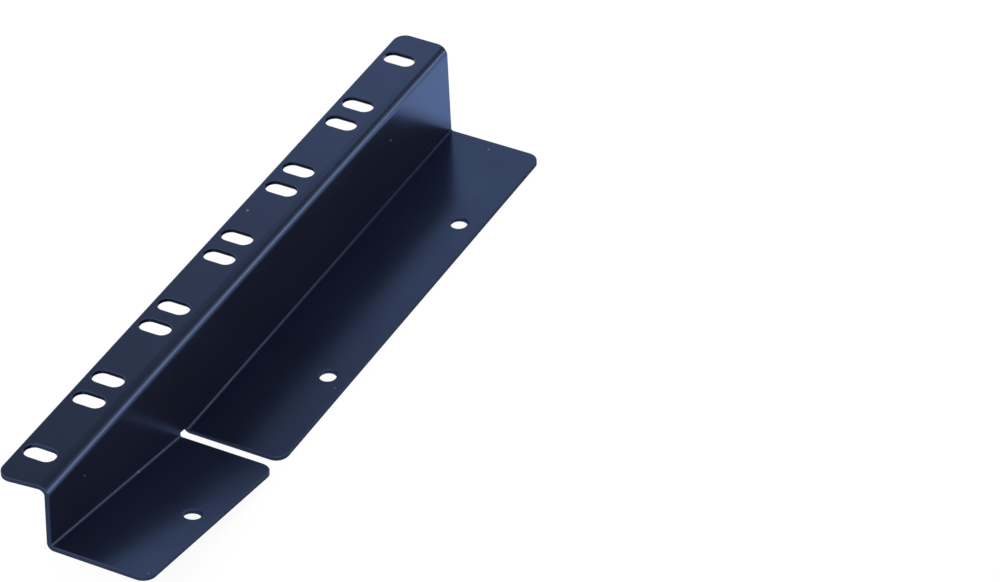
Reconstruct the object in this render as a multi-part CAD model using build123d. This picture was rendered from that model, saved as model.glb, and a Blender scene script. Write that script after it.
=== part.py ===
from build123d import *
import os
from math import cos, radians, sin, tan

# Rack ear bracket: one steel sheet folded into a Z. The ear screws to the rack rail, the web stands
# down from it, and the foot screws to the equipment in two leaves, the short one rising to the near end.
# X = 0 is the web's face on the foot's side, Y = 0 is the middle of the rack hole pattern, and Z = 0 is
# the underside of the long leaf, on which the bracket lies.

# Sheet and folds
sheet = 2.0
ear_bend_radius = 2.0
foot_bend_radius = 0.8
edge_break = 0.25

# Rack standard
rack_unit = 44.45
rack_units = 6
hole_offset = 6.35

# Ear
ear_length = 284.0
ear_width = 20.8
slot_length = 12.7
slot_width = 6.9
slot_line = 12.6

# Web
web_drop = 39.8
end_slant = 5.5

# Foot
long_run = 199.6
foot_width = 39.0
short_rise = 10.0
relief_width = 4.8
relief_reach = 0.5
corner_radius = 5.0

# Screw holes in the foot
screw_hole = 6.5
screw_line = 30.4
far_hole_inset = 50.0
long_hole_pitch = 99.2
short_hole_inset = 44.4

# Worked out from the sizes above
ear_top = sheet + web_drop
ear_bend_outer = ear_bend_radius + sheet
web_top = ear_top - ear_bend_outer
far_end = ear_length / 2
near_end = -ear_length / 2
kink = far_end - long_run
slant = tan(radians(end_slant))
rise_sin = sin(radians(short_rise))
rise_cos = cos(radians(short_rise))
fold_lift = foot_bend_radius
fold_top = sheet + fold_lift
short_drop = web_top - sheet - fold_lift * rise_cos
short_span = kink - near_end + fold_lift * rise_sin + short_drop * slant
short_run = short_span / (rise_cos + rise_sin * slant)
slot_places = [
    (unit - rack_units / 2) * rack_unit + offset
    for unit in range(rack_units)
    for offset in (hole_offset, rack_unit - hole_offset)
]


def bend_sector(inner_radius, start, end, turn):
    """Quarter ring of sheet about an axis along Y, from start to end, turned to its quadrant."""
    outer_radius = inner_radius + sheet
    ring = Circle(outer_radius) - Circle(inner_radius)
    quadrant = Rot(0, 0, turn) * Rectangle(outer_radius, outer_radius, align=Align.MIN)
    profile = Plane.XZ * (ring & quadrant)
    return Pos(0, end, 0) * extrude(profile, end - start, dir=(0, -1, 0))


def ear_plate():
    """Flat ear, with its two outer corners rounded and a slot across it at each rack hole."""
    flare = (ear_width - ear_bend_outer) * slant
    outline = Polygon(
        (-ear_bend_outer, near_end),
        (-ear_width, near_end - flare),
        (-ear_width, far_end),
        (-ear_bend_outer, far_end),
        align=None,
    )
    outline = fillet(outline.vertices().group_by(Axis.X)[0], corner_radius)
    for place in slot_places:
        outline -= Pos(-slot_line, place) * SlotOverall(slot_length, slot_width)
    return Pos(0, 0, ear_top) * extrude(outline, sheet, dir=(0, 0, -1))


def ear_bend():
    """Rounded bend from the ear down into the web."""
    return Pos(-ear_bend_outer, 0, web_top) * bend_sector(ear_bend_radius, near_end, far_end, 0)


def web_plate():
    """Upright web: slanted near edge, and a lower edge in two straight lines that meet at the kink."""
    short_low = sheet + fold_lift * rise_cos + short_run * rise_sin
    outline = Polygon(
        (near_end, web_top),
        (far_end, web_top),
        (far_end, fold_top),
        (kink + fold_lift * tan(radians(short_rise / 2)), fold_top),
        (kink + fold_lift * rise_sin - short_run * rise_cos, short_low),
        align=None,
    )
    return extrude(Plane.YZ * outline, sheet, dir=(-1, 0, 0))


def foot_leaf(start, end, hole_places):
    """Fold and leaf from start to end along Y, with the fold's inner corner at X = Z = 0."""
    fold = Pos(fold_lift, 0, fold_lift) * bend_sector(foot_bend_radius, start, end, 180)
    width = foot_width - foot_bend_radius
    outline = Pos(foot_bend_radius, start) * Rectangle(width, end - start, align=Align.MIN)
    outline = fillet(outline.vertices().group_by(Axis.X)[-1], corner_radius)
    for place in hole_places:
        outline -= Pos(screw_line, place) * Circle(screw_hole / 2)
    return fold + extrude(outline, sheet, dir=(0, 0, -1))


def foot():
    """Long level leaf and short rising leaf, parted at the kink by the relief slot."""
    far_hole = long_run - far_hole_inset
    long_leaf = foot_leaf(relief_width / 2, long_run, [far_hole, far_hole - long_hole_pitch])
    short_leaf = foot_leaf(-short_run, -relief_width / 2, [-short_hole_inset])
    return Pos(0, kink, sheet) * (long_leaf + Rot(-short_rise, 0, 0) * short_leaf)


def relief_notch():
    """Cutter for the relief slot's end, which runs up past the fold into the web, level with each leaf."""
    depth = fold_lift + relief_reach
    block = Box(2 * sheet, relief_width / 2, depth, align=(Align.CENTER, Align.MIN, Align.MIN))
    half = Pos(-sheet, 0, 0) * block
    short_half = Rot(-short_rise, 0, 0) * Pos(0, -relief_width / 2, 0) * half
    return Pos(0, kink, sheet) * (half + short_half)


def rims(body):
    """Edges where a cut face meets a face of the sheet, and none of those that run across its thickness."""
    faces_at = {}
    for face in body.faces():
        for edge in face.edges():
            faces_at.setdefault(edge, []).append(face)
    picked = []
    for edge, sides in faces_at.items():
        middle = edge @ 0.5
        square = abs(sides[0].normal_at(middle).dot(sides[-1].normal_at(middle))) < 0.2
        across = abs(edge.length - sheet) < 0.01
        if square and not across:
            picked.append(edge)
    return picked


def bracket():
    """The whole folded sheet as one solid, with a small chamfer along its cut rims."""
    folded = (ear_plate() + ear_bend() + web_plate() + foot() - relief_notch()).solid()
    return chamfer(rims(folded), edge_break).solid()


os.makedirs("parts", exist_ok=True)
body = bracket()
body.label = "rack_ear_bracket"
body.color = Color(0.09, 0.11, 0.17)
export_step(body, "parts/rack_ear_bracket.step")
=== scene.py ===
import math

import bpy
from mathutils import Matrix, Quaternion, Vector


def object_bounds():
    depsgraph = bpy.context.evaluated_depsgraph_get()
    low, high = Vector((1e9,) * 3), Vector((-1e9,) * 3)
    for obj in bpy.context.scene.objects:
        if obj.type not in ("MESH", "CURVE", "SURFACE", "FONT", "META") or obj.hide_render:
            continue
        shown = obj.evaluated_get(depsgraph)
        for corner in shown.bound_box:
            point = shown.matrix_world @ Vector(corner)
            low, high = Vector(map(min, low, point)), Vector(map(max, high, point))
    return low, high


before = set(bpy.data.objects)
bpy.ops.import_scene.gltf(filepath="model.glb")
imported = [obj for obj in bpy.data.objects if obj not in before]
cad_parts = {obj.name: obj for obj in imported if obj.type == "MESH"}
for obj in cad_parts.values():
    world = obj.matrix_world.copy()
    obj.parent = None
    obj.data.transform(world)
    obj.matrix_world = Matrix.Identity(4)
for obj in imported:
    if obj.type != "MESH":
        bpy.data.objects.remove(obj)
cad_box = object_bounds()
for obj in bpy.context.selected_objects:
    obj.select_set(False)


# Camera
# The photograph looks down on the bracket from beside its near end, through a long lens.
# Angles are in degrees: turn is from +Y towards -X, and tilt is down from the horizon.
camera_target = Vector((0.0764, 0.0406, 0.0225))
camera_distance = 1.8
camera_turn = 29.957
camera_tilt = 38.727
camera_roll = -2.746
camera_lens = 178.76
camera_film = 36.0
camera_reach = 20.0

turn = math.radians(camera_turn)
tilt = math.radians(camera_tilt)
ahead = Vector((-math.sin(turn) * math.cos(tilt), math.cos(turn) * math.cos(tilt), -math.sin(tilt)))
level = ahead.to_track_quat("-Z", "Y")
bpy.ops.object.camera_add(location=camera_target - ahead * camera_distance)
camera = bpy.context.object
camera.name = "camera"
camera.rotation_euler = (level @ Quaternion((0, 0, 1), math.radians(camera_roll))).to_euler()
camera.data.sensor_width = camera_film
camera.data.lens = camera_lens
camera.data.clip_end = camera_reach
bpy.context.scene.camera = camera


# Folded sheet
# One steel sheet, cut, punched and folded, is the whole bracket, so its imported solid is shown as it is.
# It wears a thin blue-black powder coat with a satin shine, a fine orange peel and a few specks of dust.
# In the inner fold the coat lies duller, and its colour there is painted shade: darkest towards the far end and
# only greyer, not darker, towards the near end.
coat_colour = (0.058, 0.094, 0.205, 1.0)
coat_edge_tint = (0.68, 0.77, 1.0, 1.0)
coat_metal = 1.0
coat_haze = 0.016
coat_haze_spread = 1.0
coat_smooth = 0.22
coat_dull = 0.27
cloud_size = 0.03
cloud_detail = 3.0
cloud_low = 0.3
cloud_high = 0.7
peel_size = 0.0011
peel_detail = 2.0
peel_height = 0.000012
dust_colour = (0.24, 0.25, 0.27, 1.0)
dust_spacing = 0.009
dust_radius = 0.00045
dust_share = 0.15
crease_far_shade = (0.019, 0.033, 0.095, 1.0)
crease_near_shade = (0.066, 0.092, 0.185, 1.0)
crease_dull = 0.4
crease_place = (0.00023, 0.00223, 0)
crease_reach = 0.0009
crease_core = 0.0002
crease_far = 0.09
crease_near = -0.03
kink_place = -0.058
kink_run = 1.0
kink_rise = 10.0
rim_softness = 0.0003
rim_samples = 8


# A value is either a socket to link from or a plain number or colour.
def feed(tree, value, socket):
    if isinstance(value, bpy.types.NodeSocket):
        tree.links.new(value, socket)
    else:
        socket.default_value = value


# Turns start to end of a value into low to high, and holds it at both ends.
def ramp(tree, value, start, end, low=0.0, high=1.0, smooth=False):
    node = tree.nodes.new("ShaderNodeMapRange")
    if smooth:
        node.interpolation_type = "SMOOTHSTEP"
    for name, number in (("From Min", start), ("From Max", end), ("To Min", low), ("To Max", high)):
        node.inputs[name].default_value = number
    feed(tree, value, node.inputs["Value"])
    return node.outputs["Result"]


def reckon(tree, operation, *values):
    node = tree.nodes.new("ShaderNodeMath")
    node.operation = operation
    for value, socket in zip(values, node.inputs):
        feed(tree, value, socket)
    return node.outputs["Value"]


# A Mix node's colour sockets share their names with its number sockets, so they go by their place.
def blend(tree, share, first, second):
    first_place, second_place, result_place = 6, 7, 2
    node = tree.nodes.new("ShaderNodeMix")
    node.data_type = "RGBA"
    feed(tree, share, node.inputs["Factor"])
    feed(tree, first, node.inputs[first_place])
    feed(tree, second, node.inputs[second_place])
    return node.outputs[result_place]


coat = bpy.data.materials.new("blue_black_powder_coat")
coat.use_nodes = True
tree = coat.node_tree
nodes = tree.nodes
links = tree.links
nodes.clear()
output = nodes.new("ShaderNodeOutputMaterial")
shader = nodes.new("ShaderNodeBsdfPrincipled")
shader.inputs["Specular Tint"].default_value = coat_edge_tint
shader.inputs["Sheen Weight"].default_value = coat_haze
shader.inputs["Sheen Roughness"].default_value = coat_haze_spread
links.new(shader.outputs["BSDF"], output.inputs["Surface"])
on_sheet = nodes.new("ShaderNodeTexCoord").outputs["Object"]

# The shine varies a little, in soft clouds.
clouds = nodes.new("ShaderNodeTexNoise")
clouds.inputs["Scale"].default_value = 1 / cloud_size
clouds.inputs["Detail"].default_value = cloud_detail
links.new(on_sheet, clouds.inputs["Vector"])
shine = ramp(tree, clouds.outputs["Fac"], cloud_low, cloud_high, coat_smooth, coat_dull)

# The crease is all that lies near the middle of the inner fold, which climbs with the short leaf past the kink.
axes = nodes.new("ShaderNodeSeparateXYZ")
links.new(on_sheet, axes.inputs["Vector"])
climb = kink_run * math.tan(math.radians(kink_rise))
fold_height = ramp(tree, axes.outputs["Y"], kink_place, kink_place - kink_run, high=climb)
section = nodes.new("ShaderNodeCombineXYZ")
links.new(axes.outputs["X"], section.inputs["X"])
links.new(reckon(tree, "SUBTRACT", axes.outputs["Z"], fold_height), section.inputs["Y"])
apart = nodes.new("ShaderNodeVectorMath")
apart.operation = "DISTANCE"
apart.inputs[1].default_value = crease_place
links.new(section.outputs["Vector"], apart.inputs[0])
crease = ramp(tree, apart.outputs["Value"], crease_core, crease_reach, 1.0, 0.0)
dull = nodes.new("ShaderNodeMix")
dull.inputs["B"].default_value = crease_dull
links.new(crease, dull.inputs["Factor"])
links.new(shine, dull.inputs["A"])
links.new(dull.outputs["Result"], shader.inputs["Roughness"])

# Specks of dust are bare of the coat's shine.
cells = nodes.new("ShaderNodeTexVoronoi")
cells.inputs["Scale"].default_value = 1 / dust_spacing
links.new(on_sheet, cells.inputs["Vector"])
chance = nodes.new("ShaderNodeSeparateColor")
links.new(cells.outputs["Color"], chance.inputs["Color"])
near_speck = reckon(tree, "LESS_THAN", cells.outputs["Distance"], dust_radius / dust_spacing)
chosen = reckon(tree, "LESS_THAN", chance.outputs["Red"], dust_share)
speck = reckon(tree, "MULTIPLY", near_speck, chosen)
links.new(reckon(tree, "SUBTRACT", coat_metal, speck), shader.inputs["Metallic"])

# Painted shade in the crease: its colour darkens from the near end towards the far end.
lengthwise = ramp(tree, axes.outputs["Y"], crease_far, crease_near)
crease_shade = blend(tree, lengthwise, crease_far_shade, crease_near_shade)
coat_with_crease_shade = blend(tree, crease, coat_colour, crease_shade)
links.new(blend(tree, speck, coat_with_crease_shade, dust_colour), shader.inputs["Base Color"])

peel = nodes.new("ShaderNodeTexNoise")
peel.inputs["Scale"].default_value = 1 / peel_size
peel.inputs["Detail"].default_value = peel_detail
links.new(on_sheet, peel.inputs["Vector"])
soft_rims = nodes.new("ShaderNodeBevel")
soft_rims.samples = rim_samples
soft_rims.inputs["Radius"].default_value = rim_softness
bump = nodes.new("ShaderNodeBump")
bump.inputs["Distance"].default_value = peel_height
links.new(peel.outputs["Fac"], bump.inputs["Height"])
links.new(soft_rims.outputs["Normal"], bump.inputs["Normal"])
links.new(bump.outputs["Normal"], shader.inputs["Normal"])

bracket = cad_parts["rack_ear_bracket"]
for slot in bracket.material_slots:
    slot.material = coat


# Floor
# A plain white table top under the bracket. To the camera it is white but for the bracket's soft shadow,
# and the lamps' light meets it as white paint. In the coat's shine it is a painted glow with painted shade:
# dark under the ear, dim beside the bracket, where the bracket shades it, and bright further out.
floor_size = 6.0
floor_white = (0.8, 0.8, 0.8, 1.0)
floor_glow = 0.93
floor_shade = 0.14
floor_under_shine = 0.08
floor_left_shine = 0.8
floor_near_shine = 0.24
floor_wide_shine = 1.0
floor_end_shine = 0.82
floor_front_shine = 0.36
under_start, under_end = -0.02, 0.0
wide_start, wide_end = 0.04, 0.20
left_start, left_end = -0.06, -0.20
far_start, far_end = 0.141, 0.151
side_start, side_end = 0.05, 0.12
front_start, front_end = -0.150, -0.160


def dimmed(colour, amount):
    return [value * amount for value in colour[:3]] + [1.0]


bpy.ops.mesh.primitive_plane_add(size=floor_size, location=(0, 0, cad_box[0][2]))
floor = bpy.context.object
floor.name = "floor"
paint = bpy.data.materials.new("white_floor")
paint.use_nodes = True
tree = paint.node_tree
nodes = tree.nodes
links = tree.links
nodes.clear()
output = nodes.new("ShaderNodeOutputMaterial")
path = nodes.new("ShaderNodeLightPath")
matt = nodes.new("ShaderNodeBsdfDiffuse")
matt.inputs["Color"].default_value = floor_white

# To the camera: nearly white by itself, and a little lit, so that the shadow still shows.
shade = nodes.new("ShaderNodeBsdfDiffuse")
shade.inputs["Color"].default_value = dimmed(floor_white, floor_shade)
glow = nodes.new("ShaderNodeEmission")
glow.inputs["Strength"].default_value = floor_glow
lit = nodes.new("ShaderNodeAddShader")
links.new(shade.outputs["BSDF"], lit.inputs[0])
links.new(glow.outputs["Emission"], lit.inputs[1])

# In the coat's shine, a painted glow with painted shade: from left to right, then the strip past the far end,
# then all before the near end.
seat = nodes.new("ShaderNodeSeparateXYZ")
links.new(nodes.new("ShaderNodeNewGeometry").outputs["Position"], seat.inputs["Vector"])
across, along = seat.outputs["X"], seat.outputs["Y"]
left = ramp(tree, across, left_start, left_end, high=floor_left_shine - floor_under_shine)
under = ramp(tree, across, under_start, under_end, floor_under_shine, floor_near_shine)
wide = ramp(tree, across, wide_start, wide_end, high=floor_wide_shine - floor_near_shine)
sweep = reckon(tree, "ADD", under, reckon(tree, "ADD", left, wide))
beyond = ramp(tree, along, far_start, far_end, high=floor_end_shine)
close = ramp(tree, across, side_start, side_end, 1.0, 0.0)
whole = nodes.new("ShaderNodeMix")
whole.inputs["B"].default_value = floor_front_shine
links.new(ramp(tree, along, front_start, front_end), whole.inputs["Factor"])
links.new(reckon(tree, "MULTIPLY_ADD", beyond, close, sweep), whole.inputs["A"])
painted_floor_glow = nodes.new("ShaderNodeEmission")
links.new(whole.outputs["Result"], painted_floor_glow.inputs["Strength"])

for_shine = nodes.new("ShaderNodeMixShader")
links.new(path.outputs["Is Glossy Ray"], for_shine.inputs["Fac"])
links.new(matt.outputs["BSDF"], for_shine.inputs[1])
links.new(painted_floor_glow.outputs["Emission"], for_shine.inputs[2])
for_camera = nodes.new("ShaderNodeMixShader")
links.new(path.outputs["Is Camera Ray"], for_camera.inputs["Fac"])
links.new(for_shine.outputs["Shader"], for_camera.inputs[1])
links.new(lit.outputs["Shader"], for_camera.inputs[2])
links.new(for_camera.outputs["Shader"], output.inputs["Surface"])
floor.data.materials.append(paint)


# Light
# A plain studio. A long soft box and two dim panels hang beyond the far end, and the coat's shine on
# the ear, the bend and the foot is their image. The walls are dim that way and bright at both sides and
# behind the camera, and a warm strip low on them draws the line along the bend. A lamp overhead and one
# at the left are kept out of the shine: they light the floor and the haze of the coat.
room_tint = (1.0, 0.97, 0.95, 1.0)
strip_tint = (1.0, 0.80, 0.58, 1.0)
plain_white = (1.0, 1.0, 1.0, 1.0)
room_light = 0.165
room_bright = 0.6
room_dim_from = 0.5
room_dim_to = 0.05
flank_start = 0.54
flank_end = 0.78
strip_light = 2.8
strip_low = -0.06
strip_start = 0.01
strip_end = 0.08
strip_high = 0.22
towards_near_end = (math.radians(-90), 0, 0)
box_place = (-0.25, 0.6, 0.4365)
box_width = 0.75
box_tall = 0.133
box_glow = 0.45
panel_place = (-0.225, 0.62, 0.56)
panel_width = 0.95
panel_tall = 0.42
panel_glow = 0.168
bend_place = (0.045, 0.61, 0.545)
bend_width = 0.41
bend_tall = 0.15
bend_glow = 0.26
lamp_height = 1.6
lamp_size = 1.2
lamp_power = 5.0
side_place = Vector((-1.0, 0, 0.5))
side_size = 0.6
side_power = 6.0

world = bpy.data.worlds.new("studio")
bpy.context.scene.world = world
world.use_nodes = True
tree = world.node_tree
nodes = tree.nodes
links = tree.links
nodes.clear()
output = nodes.new("ShaderNodeOutputWorld")
around = nodes.new("ShaderNodeSeparateXYZ")
links.new(nodes.new("ShaderNodeTexCoord").outputs["Generated"], around.inputs["Vector"])
rise = ramp(tree, around.outputs["Z"], strip_low, strip_start, smooth=True)
fall = ramp(tree, around.outputs["Z"], strip_end, strip_high, 1.0, 0.0, smooth=True)
strip = reckon(tree, "MULTIPLY", rise, fall)
behind = ramp(tree, around.outputs["Y"], room_dim_from, room_dim_to, smooth=True)
flanks = ramp(tree, reckon(tree, "ABSOLUTE", around.outputs["X"]), flank_start, flank_end, smooth=True)
opened = reckon(tree, "MAXIMUM", behind, flanks)
room = blend(tree, opened, dimmed(room_tint, room_light), dimmed(room_tint, room_bright))
walls = nodes.new("ShaderNodeBackground")
links.new(blend(tree, strip, room, dimmed(strip_tint, strip_light)), walls.inputs["Color"])
white = nodes.new("ShaderNodeBackground")
white.inputs["Color"].default_value = plain_white
path = nodes.new("ShaderNodeLightPath")
view = nodes.new("ShaderNodeMixShader")
links.new(path.outputs["Is Camera Ray"], view.inputs["Fac"])
links.new(walls.outputs["Background"], view.inputs[1])
links.new(white.outputs["Background"], view.inputs[2])
links.new(view.outputs["Shader"], output.inputs["Surface"])

# A panel's power is worked out from how bright its face is, so its size can be changed by itself.
for name, place, width, tall, face_glow in (
    ("soft_box", box_place, box_width, box_tall, box_glow),
    ("dim_panel", panel_place, panel_width, panel_tall, panel_glow),
    ("bend_panel", bend_place, bend_width, bend_tall, bend_glow),
):
    bpy.ops.object.light_add(type="AREA", location=place)
    panel = bpy.context.object
    panel.name = name
    panel.rotation_euler = towards_near_end
    panel.data.shape = "RECTANGLE"
    panel.data.size = width
    panel.data.size_y = tall
    panel.data.energy = face_glow * math.pi * width * tall

bpy.ops.object.light_add(type="AREA", location=(0, 0, lamp_height))
lamp = bpy.context.object
lamp.name = "overhead_lamp"
lamp.data.shape = "DISK"
lamp.data.size = lamp_size
lamp.data.energy = lamp_power
lamp.visible_glossy = False

bpy.ops.object.light_add(type="AREA", location=side_place)
side = bpy.context.object
side.name = "side_lamp"
side.rotation_euler = side_place.to_track_quat("Z", "Y").to_euler()
side.data.shape = "DISK"
side.data.size = side_size
side.data.energy = side_power
side.visible_glossy = False

bpy.context.scene.view_settings.view_transform = "Standard"
